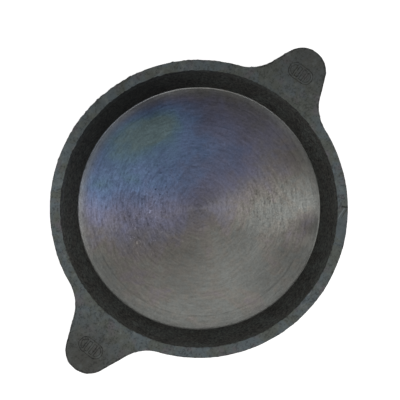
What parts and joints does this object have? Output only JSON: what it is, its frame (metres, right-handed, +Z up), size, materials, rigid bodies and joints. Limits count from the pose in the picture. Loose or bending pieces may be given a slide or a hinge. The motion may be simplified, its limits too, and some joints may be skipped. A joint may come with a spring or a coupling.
{
  "type": "cast iron pan",
  "caption": "Round one-piece cast-iron pan with a flat rim, lifting ears, sloping as-cast side wall and a solid lathe-turned floor.",
  "frame": {"origin": "centre of the flat underside, on the pan's axis", "axes": "+Z up along the pan's axis, out of the mouth; +X towards the short ear; the long ear points to -X"},
  "size_m": [0.3341, 0.25, 0.0466],
  "materials": {
    "as_cast_iron": "matt black as-cast sand skin",
    "dressed_iron": "grey-green as-cast skin, rubbed smooth, satin",
    "turned_iron": "lathe-turned bare iron with blue, teal and violet heat tints, satin"
  },
  "bodies": {
    "root": {"base": "as_cast_iron", "turned_floor": "turned_iron", "turned_cove": "turned_iron", "side_wall": "as_cast_iron", "rim": "dressed_iron", "short_ear": "dressed_iron", "long_ear": "dressed_iron", "short_ear_panel": "dressed_iron", "long_ear_panel": "dressed_iron"}
  },
  "joints": []
}
